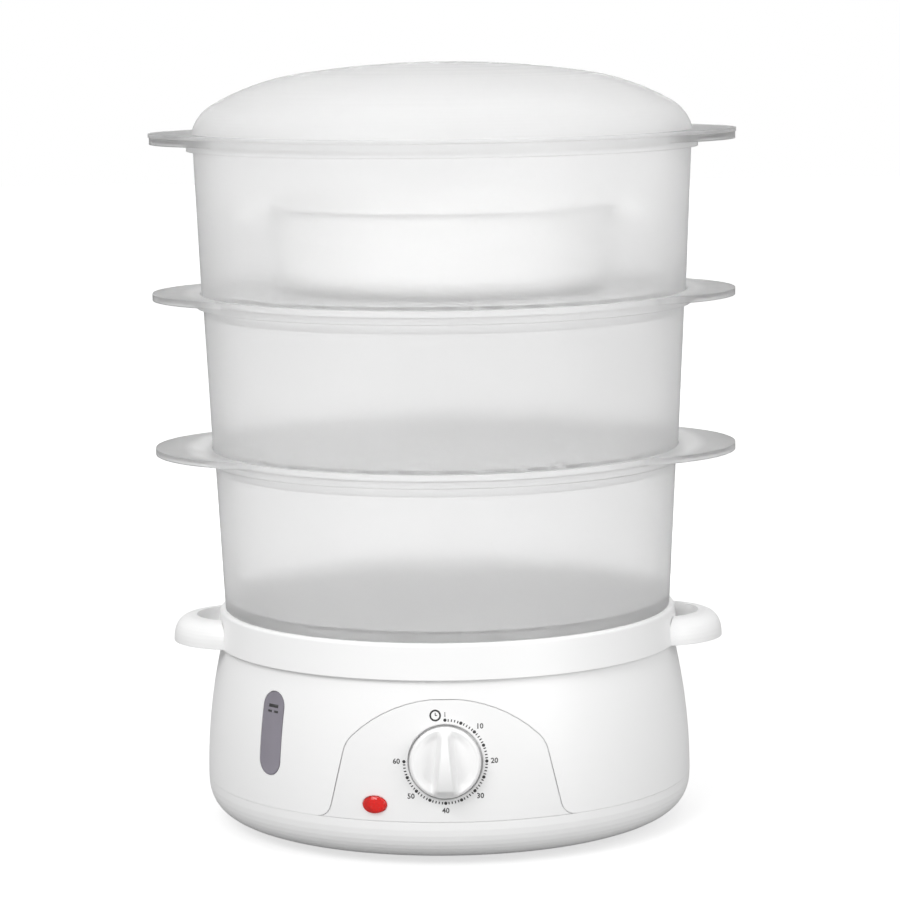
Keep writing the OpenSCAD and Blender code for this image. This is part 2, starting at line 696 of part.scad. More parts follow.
// Frame of the movement: origin on the inside of the case's back
module in_case(x) at_knob() translate([x, movement_y, -timer_back + case_t]) children();
module timer_barrel() color("goldenrod") in_case(-timer_w / 2 + case_t + barrel_r + 0.5) {
  cylinder(h = barrel_t, r = barrel_r - 2);
  translate([0, 0, 1]) cylinder(h = barrel_t - 3, r = barrel_r - 0.4);
}
gear_r = 5;
gear_teeth = 16;
arbor_l = 13;
wheel_t = 1.6;
tooth_l = 0.7;
tooth_w = 0.8;
// Each wheel: x, y, height on its arbor, share of gear_r
wheels = [[0, 0, 3, 1], [1, -13, 7, 0.8]];
module timer_gears() color("goldenrod") in_case(timer_w / 2 - case_t - gear_r - 2.5)
  for (g = wheels) translate([g[0], g[1], 0]) {
    cylinder(h = arbor_l, r = 1);
    translate([0, 0, g[2]]) {
      cylinder(h = wheel_t, r = gear_r * g[3]);
      ring_of(gear_teeth, gear_r * g[3]) translate([-0.3, -tooth_w / 2, 0])
        cube([tooth_l + 0.3, tooth_w, wheel_t]);
    }
  }
strip_x = 6;
strip_w = 4;
strip_t = 0.6;
strip_out = 7;
strip_in = 9;
strip_back = timer_back - case_t - strip_out;
module timer_contacts() color("goldenrod") at_knob() for (s = [-1, 1])
  translate([s * strip_x - strip_w / 2, -timer_h / 2 - strip_out, -strip_back]) {
    cube([strip_w, strip_out + strip_in + strip_t, strip_t]);
    translate([0, strip_out + strip_in, 0]) cube([strip_w, strip_t, s > 0 ? 8 : 7]);
    // Foot that holds the strip in the case's slot
    translate([-2.5, strip_out, -0.8]) cube([strip_w + 5, 1.6, 2.2]);
  }

knob_under = 0.6;
knob_hub_r = 5;
knob_crown = 1.4;
knob_edge_r = 2.5;
grip_arc = 30;
module grip_outline() {
  y1 = grip_l / 2;
  polygon(concat(arc([0, y1 - grip_top_w / 2], grip_top_w / 2, 0, 180, 10),
    arc([0, -y1 + grip_w / 2], grip_w / 2, 180, 360, 14)));
}
module timer_knob() color("white") at_knob() difference() {
  union() {
    rotate_extrude() polygon(concat(
      [[knob_hub_r, -recess_depth + knob_under], [knob_hub_r, knob_out - knob_crown - knob_wall],
       [knob_r - knob_wall, knob_out - knob_crown - knob_wall - 1],
       [knob_r - knob_wall, -recess_depth + knob_under], [knob_r, -recess_depth + knob_under]],
      arc([knob_r - knob_edge_r, knob_out - knob_crown - knob_edge_r], knob_edge_r, 0, 90, 5),
      [[knob_r / 2, knob_out - 0.4], [0, knob_out], [0, -recess_depth + knob_under]]));
    intersection() {
      translate([0, 0, knob_out - knob_crown - 1]) linear_extrude(grip_out + knob_crown + 1) grip_outline();
      translate([-grip_w, 0, knob_out + grip_out - grip_arc]) rotate([0, 90, 0])
        cylinder(h = 2 * grip_w, r = grip_arc);
    }
  }
  translate([0, 0, -recess_depth]) difference() {
    cylinder(h = recess_depth + spindle_out, r = spindle_r + fit);
    translate([spindle_r * spindle_flat + fit, -5, 1]) cube([10, 10, 20]);
  }
}

// ---- Mains side ----
gland_flange_r = 8.5;
gland_flange_t = 1.8;
gland_in = 9;
gland_bore_r = 3.8;
gland_tip_r = 4.9;
z_cord = z_line + cord_hole_up;
module cord_gland() color("dimgray") translate([0, wall_r(z_cord), z_cord]) rotate([-90, 0, 0]) difference() {
  union() {
    translate([0, 0, -gland_in]) cylinder(h = gland_in + clear + 1, r = cord_hole_r);
    translate([0, 0, clear]) cylinder(h = gland_flange_t, r = gland_flange_r);
    translate([0, 0, clear + gland_flange_t - eps])
      cylinder(h = gland_sleeve_l - clear - gland_flange_t + eps, r1 = cord_hole_r, r2 = gland_tip_r);
    translate([0, 0, -gland_in]) cylinder(h = gland_flange_t, r = gland_flange_r);
  }
  translate([0, 0, -gland_in - 1]) cylinder(h = gland_in + gland_sleeve_l + 2, r = gland_bore_r);
}
block_l = 34;
block_w = 14;
block_h = 12;
block_y = 76;
block_pitch = 10;
way_up = 4;
way_r = 1.6;
way_screw_y = 4;
way_screw_r = 1.7;
way_screw_at = block_h - 5;
z_block = z_pan + base_wall;
module at_terminals() for (i = [-1, 0, 1]) translate([i * block_pitch, block_y, z_block]) children();
module terminal_block() color("ivory") difference() {
  translate([-block_l / 2, block_y - block_w / 2, z_block]) cube([block_l, block_w, block_h]);
  at_terminals() {
    for (s = [-1, 1]) translate([0, s * way_screw_y, way_screw_at])
      cylinder(h = 6, r = way_screw_r + 0.1, $fn = 32);
    translate([0, -block_w, way_up]) rotate([-90, 0, 0]) cylinder(h = 3 * block_w, r = way_r, $fn = 32);
  }
}
module terminal_screws() color("silver") at_terminals() for (s = [-1, 1])
  translate([0, s * way_screw_y, way_screw_at]) difference() {
    cylinder(h = 4, r = way_screw_r, $fn = 32);
    translate([-2, -0.25, 3]) cube([4, 0.5, 2]);
  }

wire_r = 1.2;
wire_sides = 8;
function unit(v) = v / norm(v);
function first_ring(p, d) = let (u = unit(cross(d, abs(d.z) > 0.9 ? [1, 0, 0] : [0, 0, 1])), v = cross(d, u))
  [for (k = [0:wire_sides - 1]) let (a = 360 * k / wire_sides) p + wire_r * (u * cos(a) + v * sin(a))];
// Each lead is a tube of straight runs, mitred where they meet
module lead(pts) {
  n = len(pts);
  d = [for (i = [0:n - 2]) unit(pts[i + 1] - pts[i])];
  cut = [for (i = [0:n - 1]) i == 0 ? d[0] : i == n - 1 ? d[n - 2] : unit(d[i - 1] + d[i])];
  rings = [for (i = 0, q = first_ring(pts[0], d[0]); i < n;
    i = i + 1, q = i < n ? [for (v = q) v + d[i - 1] * ((pts[i] - v) * cut[i]) / (d[i - 1] * cut[i])] : q) q];
  side = [for (i = [0:n - 2], k = [0:wire_sides - 1])
    let (a = i * wire_sides + k, b = i * wire_sides + (k + 1) % wire_sides)
    each [[a, b + wire_sides, b], [a, a + wire_sides, b + wire_sides]]];
  caps = [for (k = [1:wire_sides - 2]) each [[0, k, k + 1],
    [(n - 1) * wire_sides, (n - 1) * wire_sides + k + 1, (n - 1) * wire_sides + k]]];
  polyhedron([for (r = rings) each r], concat(side, caps));
}
// Where the leads end: block ways, timer tags, thermostat tags, element pins, fuse and earth stud
function way(i) = [i * block_pitch, block_y - block_w / 2 - clear, z_block + way_up];
function timer_tag(s) =
  let (a = 90 - wall_lean(z_knob), y = -timer_h / 2 - strip_out, z = strip_t / 2 - strip_back)
  [s * strip_x, -wall_r(z_knob) + y * cos(a) - z * sin(a), z_knob + y * sin(a) + z * cos(a) - clear];
function thermostat_tag(s) = [0, s * tag_y, z_tag - clear];
function element_pin(s) = let (a = 180 + s * element_gap / 2)
  [element_ring_r * cos(a), element_ring_r * sin(a), z_plate_under - element_r - leg_l - pin_l - clear];
function fuse_end(s) = [s * (fuse_l / 2 + clear), fuse_y, z_clamp - fuse_r];
earth_stud = [stud_ring_r * cos(60), stud_ring_r * sin(60), z_plate_under - stud_l - clear / 2];
lead_live = [way(-1), way(-1) - [0, 9, 0], [-56, 36, 9], [-56, -40, 9], [-14, -84, 12],
  timer_tag(-1) - [0, -1, 9], timer_tag(-1)];
lead_switched = [timer_tag(1), timer_tag(1) - [0, -1, 9], [24, -60, 10], [14, -20, 12],
  thermostat_tag(-1) - [0, 4, 6], thermostat_tag(-1)];
lead_fuse = [thermostat_tag(1), thermostat_tag(1) - [-2, -2, 6], [14, 0, 18], [16, -14, 30],
  fuse_end(1) + [6, 0, 0], fuse_end(1)];
lead_element = [fuse_end(-1), fuse_end(-1) - [5, 0, 0], [-15, -15, 28], [-15, -12, 18],
  element_pin(1) - [0, 0, 4.5], element_pin(1)];
lead_neutral = [way(0), way(0) - [0, 15, 0], [-8, 30, 10], [-14, 16, 12],
  element_pin(-1) - [0, 0, 6], element_pin(-1)];
lead_earth = [way(1), way(1) - [0, 15, 0], [12, 30, 14], earth_stud - [0, 0, 8], earth_stud];
module wiring() color("saddlebrown") for (pts = [lead_live, lead_switched, lead_fuse, lead_element,
  lead_neutral, lead_earth]) lead(pts);

// ---- Loose pieces inside the base ----
turbo_in_r = 40;
turbo_t = 2;
turbo_h = 42;
turbo_notch_r = 6;
turbo_notches = 4;
module turbo_ring() color("gainsboro") translate([0, 0, z_sump]) difference() {
  tube(turbo_h, turbo_in_r + turbo_t, turbo_in_r);
  ring_of(turbo_notches, turbo_in_r - 4, 45) rotate([0, 90, 0]) cylinder(h = 10, r = turbo_notch_r);
}

tray_h = 5.5;
tray_wall = 1.8;
tray_drop = 5;
chimney_r = 24;
chimney_h = 7;
tray_notch_w = 30;
z_tray = z_ledge - tray_drop;
tray_r = ring_mouth_r - nest_gap;
module drip_tray() color("gainsboro", 0.7) difference() {
  union() {
    rotate_extrude() polygon([
      [chimney_r, z_tray], [tank_upper_r - 6, z_tray], [tank_upper_r - 1, z_ledge], [tray_r, z_ledge],
      [tray_r, z_ledge + tray_h], [tray_r - tray_wall, z_ledge + tray_h],
      [tray_r - tray_wall, z_ledge + tray_wall], [tank_upper_r - 2, z_ledge + tray_wall],
      [tank_upper_r - 7, z_tray + tray_wall], [chimney_r + tray_wall, z_tray + tray_wall],
      [chimney_r + tray_wall, z_tray + chimney_h], [chimney_r, z_tray + chimney_h]]);
  }
  both_sides() translate([ring_mouth_r - 5, -tray_notch_w / 2, z_ledge + tray_wall])
    cube([10, tray_notch_w, tray_h]);
}

// ---- Baskets, bowl and lid ----
// Outline of a rim of radius r with an ear at each side, drawn in by inset
function ear_points(r, tip, inset) =
  let (c = tip - ear_r,
       d1 = r + ear_fillet_r,
       d2 = ear_r + ear_fillet_r,
       fx = (d1 * d1 - d2 * d2 + c * c) / (2 * c),
       fy = sqrt(d1 * d1 - fx * fx),
       lobe_a = atan2(fy, fx - c),
       rim_a = atan2(fy, fx),
       half = concat(
         arc([c, 0], ear_r - inset, -lobe_a, lobe_a, 20),
         arc([fx, fy], ear_fillet_r + inset, lobe_a - 180 - 2, rim_a - 180 + 2, 3),
         arc([0, 0], r - inset, rim_a, 180 - rim_a, 16),
         arc([-fx, fy], ear_fillet_r + inset, -rim_a - 2, -lobe_a + 2, 3)))
  concat(half, turned(half));

module ear_rim(r, tip, mouth, z_top, t, lip) {
  translate([0, 0, z_top - t]) linear_extrude(t) difference() {
    polygon(ear_points(r, tip, 0));
    circle(r = mouth);
  }
  translate([0, 0, z_top - lip]) linear_extrude(lip - t + eps) difference() {
    polygon(ear_points(r, tip, 0));
    polygon(ear_points(r, tip, ear_lip_t));
  }
}

// Steam holes: rings whose count grows with their radius
hole_first_ring = 1;
hole_pitch = 20;
hole_turn = 11;
foot_taper = 1;
module steam_holes(r_max, z) {
  for (k = [hole_first_ring:floor((r_max - hole_d) / hole_ring)]) {
    r = k * hole_ring;
    n = floor(2 * PI * r / hole_pitch);
    ring_of(n, r, k * hole_turn) translate([0, 0, z - 1])
      cylinder(h = basket_floor + 2, d = hole_d, $fn = 24);
  }
}

module basket(i) {
  foot = basket_foot(i);
  rim = basket_rim(i);
  plug = mouth(i) - nest_gap;
  z0 = z_seat[i] - plug_h;
  zf = z_seat[i] + floor_up;
  z1 = z_seat[i + 1];
  difference() {
    rotate_extrude() polygon([
      [0, zf], [plug - basket_wall, zf], [plug - basket_wall - foot_taper, z0], [plug - foot_taper, z0],
      [plug, z0 + 3], [plug, z_seat[i]], [foot, z_seat[i]], [rim, z1 - band_drop],
      [flange_r(i), z1 - band_drop], [flange_r(i), z1 + collar_h], [collar_r(i), z1 + collar_h],
      [collar_r(i), z1], [rim - basket_wall, z1], [foot - basket_wall, zf + basket_floor],
      [0, zf + basket_floor]]);
    steam_holes(plug, zf);
  }
  ear_rim(flange_r(i), ear_tip_r, collar_r(i), z1 + collar_h, ear_t, ear_lip);
}
module basket_1() color("gainsboro", 0.5) basket(0);
module basket_2() color("gainsboro", 0.5) basket(1);
module basket_3() color("gainsboro", 0.5) basket(2);

z_bowl = z_seat[2] + floor_up + basket_floor;
bowl_rim_t = 2;
module rice_bowl() color("white") {
  rotate_extrude() polygon(concat(
    [[0, z_bowl]],
    arc([bowl_r - 1.5 - bowl_corner_r, z_bowl + bowl_corner_r], bowl_corner_r, 270, 360, 7),
    [[bowl_r, z_bowl + bowl_h], [bowl_r - bowl_wall, z_bowl + bowl_h]],
    arc([bowl_r - 1.5 - bowl_corner_r, z_bowl + bowl_corner_r], bowl_corner_r - bowl_wall, 360, 270, 7),
    [[0, z_bowl + bowl_wall]]));
  translate([0, 0, z_bowl + bowl_h - bowl_rim_t]) linear_extrude(bowl_rim_t) difference() {
    union() {
      circle(r = bowl_r + 2);
      both_sides() bowl_grip_outline(0);
    }
    circle(r = bowl_r - bowl_wall / 2);
  }
  translate([0, 0, z_bowl + bowl_h - bowl_grip_drop]) linear_extrude(bowl_grip_drop - bowl_rim_t + eps)
    both_sides() difference() {
      bowl_grip_outline(0);
      bowl_grip_outline(1.5);
      circle(r = bowl_r);
    }
}
bowl_grip_corner = 12;
module bowl_grip_outline(inset) {
  w = bowl_grip_w / 2;
  x1 = bowl_grip_reach;
  polygon(concat([[bowl_r - 14, -w + inset]],
    arc([x1 - bowl_grip_corner, -w + bowl_grip_corner], bowl_grip_corner - inset, 270, 360, 6),
    arc([x1 - bowl_grip_corner, w - bowl_grip_corner], bowl_grip_corner - inset, 0, 90, 6),
    [[bowl_r - 14, w - inset]]));
}

z_lid = z_seat[3] + collar_h;
z_apex = z_lid + lid_h;
lid_rim_r = basket_rim(2) + 0.7;
lid_shoulder_r = lid_rim_r - lid_shoulder_w;
crown_slope = asin(lid_crown_end_r / lid_crown_arc);
mid_arc = (lid_shoulder_r - lid_crown_end_r) / (sin(lid_shoulder_slope) - sin(crown_slope));
shoulder_arc = (lid_rim_r - lid_shoulder_r) / (sin(lid_rim_slope) - sin(lid_shoulder_slope));
crown_c = [0, z_apex - lid_crown_arc];
mid_c = crown_c + (lid_crown_arc - mid_arc) * [sin(crown_slope), cos(crown_slope)];
lid_shoulder_c = mid_c + (mid_arc - shoulder_arc) * [sin(lid_shoulder_slope), cos(lid_shoulder_slope)];
function lid_path(inset) = concat(
  arc(crown_c, lid_crown_arc - inset, 90, 90 - crown_slope, 6),
  arc(mid_c, mid_arc - inset, 90 - crown_slope - 3, 90 - lid_shoulder_slope, 7),
  arc(lid_shoulder_c, shoulder_arc - inset, 90 - lid_shoulder_slope - 6, 90 - lid_rim_slope, 8));
vent_d = 5;
vent_r = 60;
vent_angles = [70, 90, 110];
spigot_t = 1.6;
module lid() color("whitesmoke", 0.7) {
  spigot_r = mouth(3) - nest_gap;
  difference() {
    rotate_extrude() polygon(concat(
      lid_path(0), [[top_flange_r - 0.4, z_lid], [spigot_r, z_lid], [spigot_r, z_lid - lid_spigot_h],
        [spigot_r - spigot_t, z_lid - lid_spigot_h], [spigot_r - spigot_t, z_lid + lid_ear_t]],
      [for (i = [len(lid_path(0)) - 1:-1:0]) lid_path(lid_wall)[i]]));
    for (a = vent_angles) rotate([0, 0, a]) translate([vent_r, 0, z_lid])
      cylinder(h = lid_h + 10, d = vent_d);
  }
  translate([0, 0, z_lid]) linear_extrude(lid_ear_t) difference() {
    polygon(ear_points(top_flange_r, ear_tip_r + lid_ear_over, 0));
    circle(r = lid_rim_r - 0.5);
  }
}

bottom_pan();
feet();
case_screws();
outer_housing();
control_panel();
lamp_lens();
lamp_holder();
neon_lamp();
water_tank();
gauge_window();
gauge_seal();
heater_seal();
heater_plate();
heater_tube();
heater_clamp();
heater_nuts();
thermostat();
thermal_fuse();
timer_plate();
timer_case();
timer_bell();
timer_screws();
timer_spindle();
timer_cam();
timer_barrel();
timer_gears();
timer_contacts();
timer_knob();
cord_gland();
terminal_block();
terminal_screws();
wiring();
turbo_ring();
drip_tray();
basket_1();
basket_2();
basket_3();
rice_bowl();
lid();
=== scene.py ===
# %% [markdown]
# # Three-tier electric food steamer
# The CAD model gives every part its true shape and place. This notebook adds what CAD can't hold:
# the finish of each plastic and metal, the printed dial, a softly sculpted knob, and a small white
# photo studio. Everything is in metres, +Z up, with the dial facing -Y.

# %% Load the frame
import json
import math

import bmesh
import bpy
from mathutils import Matrix, Vector
from mathutils.bvhtree import BVHTree


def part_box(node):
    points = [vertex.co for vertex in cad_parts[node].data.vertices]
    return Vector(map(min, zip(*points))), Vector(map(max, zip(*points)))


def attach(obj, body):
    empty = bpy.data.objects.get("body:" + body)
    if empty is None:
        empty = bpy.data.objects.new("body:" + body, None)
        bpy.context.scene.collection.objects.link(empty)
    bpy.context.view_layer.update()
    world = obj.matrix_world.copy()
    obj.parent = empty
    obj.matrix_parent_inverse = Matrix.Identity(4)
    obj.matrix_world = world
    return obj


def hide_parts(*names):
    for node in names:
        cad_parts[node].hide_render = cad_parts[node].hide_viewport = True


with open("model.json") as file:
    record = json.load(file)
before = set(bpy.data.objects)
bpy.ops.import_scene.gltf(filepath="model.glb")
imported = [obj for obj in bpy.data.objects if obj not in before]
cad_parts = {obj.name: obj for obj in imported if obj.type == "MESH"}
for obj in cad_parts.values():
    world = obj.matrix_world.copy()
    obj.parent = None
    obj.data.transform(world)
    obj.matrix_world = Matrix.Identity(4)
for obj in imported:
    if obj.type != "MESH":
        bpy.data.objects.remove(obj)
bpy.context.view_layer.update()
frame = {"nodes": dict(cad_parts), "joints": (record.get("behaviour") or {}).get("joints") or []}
MM = 0.001

# %% [markdown]
# ## Camera
# The photograph was taken from a little above the dial with a long lens, so the stack hardly
# tapers. A camera can be placed by eye, but this one was worked out from the round rims: 1.65 m
# away and looking down by 7.5 degrees. It is turned slightly round the steamer, because the knob
# sits a touch left of the stack's axis, and rolled by less than a degree, because the stack leans
# a touch in the picture.

# %% Camera
CAMERA_DISTANCE = 1.65484
CAMERA_HEIGHT = 0.39985
CAMERA_SIDE = 0.00215
LOOK_DOWN = math.radians(7.52)
TURN = math.radians(0.85)
ROLL = math.radians(-0.686)
LENS_MM = 135.28
SENSOR_MM = 36.0

camera_data = bpy.data.cameras.new("camera")
camera_data.lens = LENS_MM
camera_data.sensor_width = SENSOR_MM
camera = bpy.data.objects.new("camera", camera_data)
bpy.context.scene.collection.objects.link(camera)
camera.matrix_world = (
    Matrix.Rotation(TURN, 4, "Z")
    @ Matrix.Translation((CAMERA_SIDE, -CAMERA_DISTANCE, CAMERA_HEIGHT))
    @ Matrix.Rotation(math.pi / 2 - LOOK_DOWN, 4, "X")
    @ Matrix.Rotation(ROLL, 4, "Z")
)
bpy.context.scene.camera = camera
print("camera at", [round(v, 3) for v in camera.matrix_world.translation])

# %% [markdown]
# ## Shader arithmetic
# A finish is a small sum: a base gloss plus a mask times its share. Each Math node could be made
# and wired by hand, but a class that wraps a socket and knows + and * lets that sum be read as a
# sum. Every other node comes from one method, `add`.


# %% Sockets that can be added and multiplied
class Value:
    """An output socket. Arithmetic on it adds Math nodes to the same material."""

    def __init__(self, finish, socket):
        self.finish = finish
        self.socket = socket

    def maths(self, operation, first, second):
        return self.finish.add("ShaderNodeMath", {"operation": operation}, {0: first, 1: second})

    def __add__(self, other):
        return self.maths("ADD", self, other)

    def __mul__(self, other):
        return self.maths("MULTIPLY", self, other)

    __radd__ = __add__
    __rmul__ = __mul__


# %% [markdown]
# ## What every finish starts from
# Moulded plastic is never one flat colour up close: the shade drifts a little, the gloss is uneven
# where hands have been, and the skin has a faint orange peel. The bevel node rounds the light over
# every sharp CAD edge, which is cheaper than rounding the mesh and keeps the CAD solid as it is.


# %% A finish and its building blocks
BEVEL_RAYS = 4


class Finish:
    """A material that starts empty and ends in one Principled shader."""

    def __init__(self, name):
        self.material = bpy.data.materials.new(name)
        self.material.use_nodes = True
        self.tree = self.material.node_tree
        self.tree.nodes.clear()
        self.place = self.add("ShaderNodeTexCoord", out="Object")

    def add(self, kind, settings=None, sockets=None, out=0):
        """Adds a node: its settings first, then the values or links of its sockets."""
        node = self.tree.nodes.new(kind)
        for key, value in (settings or {}).items():
            setattr(node, key, value)
        for key, value in (sockets or {}).items():
            if isinstance(value, Value):
                self.tree.links.new(value.socket, node.inputs[key])
            else:
                node.inputs[key].default_value = value
        return Value(self, node.outputs[out]) if node.outputs else None

    def noise(self, per_metre, detail=2.0, stretch=(1.0, 1.0, 1.0)):
        """Cloudy noise from 0 to 1, with about that many blobs in a metre."""
        place = self.add("ShaderNodeMapping", {}, {"Vector": self.place, "Scale": stretch})
        return self.add(
            "ShaderNodeTexNoise", {}, {"Vector": place, "Scale": per_metre, "Detail": detail}
        )

    def blend(self, mask, first, second):
        """A colour that goes from first to second as the mask goes from 0 to 1."""
        return self.add("ShaderNodeMix", {"data_type": "RGBA"}, {0: mask, 6: first, 7: second}, 2)

    def skin(self, edge_radius, per_metre, depth):
        """Normals for a moulded skin: softened edges with a fine unevenness over them."""
        edges = self.add("ShaderNodeBevel", {"samples": BEVEL_RAYS}, {"Radius": edge_radius})
        grain = self.noise(per_metre, detail=3.0)
        sockets = {"Height": grain, "Distance": depth, "Normal": edges}
        return self.add("ShaderNodeBump", {}, sockets)

    def surface(self, lamp_tint=None, **sockets):
        """Ends the finish. Names use _ for a space. A lamp_tint lets lamps shine through."""
        named = {key.replace("_", " "): value for key, value in sockets.items()}
        shader = self.add("ShaderNodeBsdfPrincipled", {}, named)
        if lamp_tint is not None:
            to_lamp = self.add("ShaderNodeLightPath", out="Is Shadow Ray")
            clear = self.add("ShaderNodeBsdfTransparent", {}, {"Color": lamp_tint})
            shader = self.add("ShaderNodeMixShader", {}, {0: to_lamp, 1: shader, 2: clear})
        self.add("ShaderNodeOutputMaterial", {}, {"Surface": shader})
        return self.material


def grey(level, tint=(0.0, 0.0, 0.0)):
    """A near-white or grey colour, with a small tint."""
    return (level + tint[0], level + tint[1], level + tint[2], 1.0)


# %% [markdown]
# ## Opaque plastics
# The base, knob and bowl are glossy white ABS or polypropylene. One flat white would do from afar,
# but it looks like paint up close. So a broad noise drifts the shade and the gloss by a few
# percent, and a fine one gives the orange peel. The same recipe with other numbers makes the black
# lamp holder and the cream fittings.


# %% Opaque plastic
FINE_PEEL = 0.01 * MM
WARM = (0, 0, -0.003)
WARMER = (0, 0, -0.01)


def opaque_plastic(name, dark, light, gloss, edge=0.5 * MM):
    finish = Finish(name)
    drift = finish.noise(per_metre=14.0, detail=3.0)
    smears = finish.noise(per_metre=30.0, stretch=(1.0, 1.0, 0.4))
    return finish.surface(
        Base_Color=finish.blend(drift, dark, light),
        Roughness=gloss + smears * 0.05,
        Normal=finish.skin(edge, per_metre=900.0, depth=FINE_PEEL),
    )


base_white = opaque_plastic("base_white", grey(0.88), grey(0.9, WARM), gloss=0.32)
panel_white = opaque_plastic(
    "panel_white", grey(0.85), grey(0.87, WARM), gloss=0.32, edge=0.9 * MM
)
knob_white = opaque_plastic("knob_white", grey(0.87), grey(0.89, WARM), gloss=0.36)
bowl_white = opaque_plastic("bowl_white", grey(0.68), grey(0.7, WARM), gloss=0.3)
# Painted light: a pale grey for the strip in the panel's joint, standing in for light that gets
# into a real joint.
joint_painted_light = opaque_plastic("joint_painted_light", grey(0.74), grey(0.78), gloss=0.6)
gland_white = opaque_plastic("gland_white", grey(0.78), grey(0.85, WARMER), gloss=0.5)
fitting_cream = opaque_plastic(
    "fitting_cream", (0.72, 0.69, 0.6, 1), (0.8, 0.77, 0.68, 1), gloss=0.4
)
holder_black = opaque_plastic("holder_black", grey(0.012), grey(0.025), gloss=0.35)
print("opaque plastics made")

# %% [markdown]
# ## Clear and frosted plastics
# The baskets and lid are clear plastic with a milky haze: light passes, but what stands behind
# gets soft. Real refraction gives the darker wall edges for free, a rough surface gives the haze,
# and a share of plain white under it gives the milkiness. Volume scatter would do it too, but at
# many times the render time. Lamps can't find their way through refraction, so rays on their way
# to a lamp meet a tinted Transparent shader instead, and the bowl inside the basket is lit. Past
# the rim, by its distance from the axis, the plastic takes another colour: painted shade that
# darkens each basket's ear plates, and painted light that lightens the lid's ear plates.


# %% Clear and frosted plastic
EAR_SHADING_FROM = 123.5 * MM
EAR_SHADING_FULL = 129 * MM
WALL_EDGE = 0.9 * MM


def hazy_plastic(name, light, dark, haze, milk, shade=0.94, ior=1.3, painted_ear_shading=None):
    """Clear plastic: haze blurs, milk whitens, shade is what it leaves of a lamp's light."""
    finish = Finish(name)
    cloud = finish.noise(per_metre=25.0, detail=3.0)
    wipe = finish.noise(per_metre=60.0, stretch=(1.0, 1.0, 0.25))
    colour = finish.blend(cloud, dark, light)
    # Painted ear shading: past the rim, by distance from the axis, the colour turns to the given
    # ear colour, darker for painted shade, lighter for painted light.
    if painted_ear_shading is not None:
        flatten = {"Vector": finish.place, "Scale": (1.0, 1.0, 0.0)}
        flat = finish.add("ShaderNodeMapping", {}, flatten)
        out = finish.add("ShaderNodeVectorMath", {"operation": "LENGTH"}, {0: flat}, "Value")
        limits = {"Value": out, "From Min": EAR_SHADING_FROM, "From Max": EAR_SHADING_FULL}
        colour = finish.blend(finish.add("ShaderNodeMapRange", {}, limits), colour, painted_ear_shading)
    return finish.surface(
        lamp_tint=grey(shade),
        Base_Color=colour,
        Roughness=haze + wipe * 0.06,
        Transmission_Weight=1.0 - milk,
        IOR=ior,
        Normal=finish.skin(WALL_EDGE, per_metre=1400.0, depth=FINE_PEEL),
    )


clear_basket = hazy_plastic(
    "clear_basket",
    light=grey(0.89),
    dark=grey(0.86),
    haze=0.27,
    milk=0.14,
    shade=0.9,
    ior=1.16,
    # painted shade: the basket ear plates are darker
    painted_ear_shading=grey(0.62),
)
frosted_lid = hazy_plastic(
    "frosted_lid",
    light=grey(0.86),
    dark=grey(0.84),
    haze=0.34,
    milk=0.15,
    shade=0.9,
    ior=1.12,
    # painted light: the lid's ear plates are lighter
    painted_ear_shading=grey(0.98),
)
tray_clear = hazy_plastic(
    "tray_clear", light=grey(0.88), dark=grey(0.85), haze=0.15, milk=0.15, shade=0.9
)
window_grey = hazy_plastic(
    "window_grey", light=(0.4, 0.38, 0.43, 1), dark=(0.34, 0.32, 0.37, 1), haze=0.2, milk=0.6
)
lens_red = hazy_plastic(
    "lens_red",
    light=(0.95, 0.03, 0.02, 1),
    dark=(0.85, 0.01, 0.01, 1),
    haze=0.03,
    milk=0.6,
    shade=0.7,
    ior=1.5,
)
lamp_glass = hazy_plastic(
    "lamp_glass", light=(1.0, 0.75, 0.55, 1), dark=(1.0, 0.7, 0.5, 1), haze=0.02, milk=0.1
)
print("clear plastics made")

# %% [markdown]
# ## Metals and rubber
# Pressed steel carries fine rolling lines, the element is dark and blotchy from heat, brass wheels
# are a little tarnished, and rubber is dull with a dusty grain. The lines could be scratched in by
# a wave, but a noise that is squeezed along one axis has no regular beat, as real steel has none.


# %% Metals and rubber
LONG_LINES = (1.0, 1.0, 12.0)
NO_LINES = (1.0, 1.0, 1.0)
STEEL_EDGE = 0.25 * MM
RUBBER_EDGE = 0.4 * MM
RUBBER_GRAIN = 0.04 * MM


def metal(name, bright, dull, gloss, lines=LONG_LINES):
    finish = Finish(name)
    rolling = finish.noise(per_metre=220.0, detail=4.0, stretch=lines)
    stain = finish.noise(per_metre=60.0, detail=3.0)
    return finish.surface(
        Base_Color=finish.blend(stain, bright, dull),
        Metallic=1.0,
        Roughness=gloss + rolling * 0.18,
        Normal=finish.skin(STEEL_EDGE, per_metre=600.0, depth=FINE_PEEL),
    )


def rubber(name, light, dark):
    finish = Finish(name)
    dust = finish.noise(per_metre=300.0, detail=5.0)
    return finish.surface(
        Base_Color=finish.blend(dust, dark, light),
        Roughness=0.6 + dust * 0.25,
        Normal=finish.skin(RUBBER_EDGE, per_metre=1500.0, depth=RUBBER_GRAIN),
    )


zinc = metal("zinc", grey(0.68), grey(0.5), gloss=0.3)
stainless = metal("stainless", grey(0.72), grey(0.6), gloss=0.2)
burnt_steel = metal(
    "burnt_steel", grey(0.22), (0.16, 0.12, 0.1, 1), gloss=0.45, lines=NO_LINES
)
brass = metal("brass", (0.86, 0.66, 0.3, 1), (0.6, 0.42, 0.18, 1), gloss=0.25)
foot_grey = rubber("foot_grey", grey(0.2), grey(0.12))
seal_grey = rubber("seal_grey", grey(0.7), grey(0.6))
lead_brown = rubber("lead_brown", (0.3, 0.14, 0.06, 1), (0.22, 0.1, 0.04, 1))
print("metals and rubbers made")

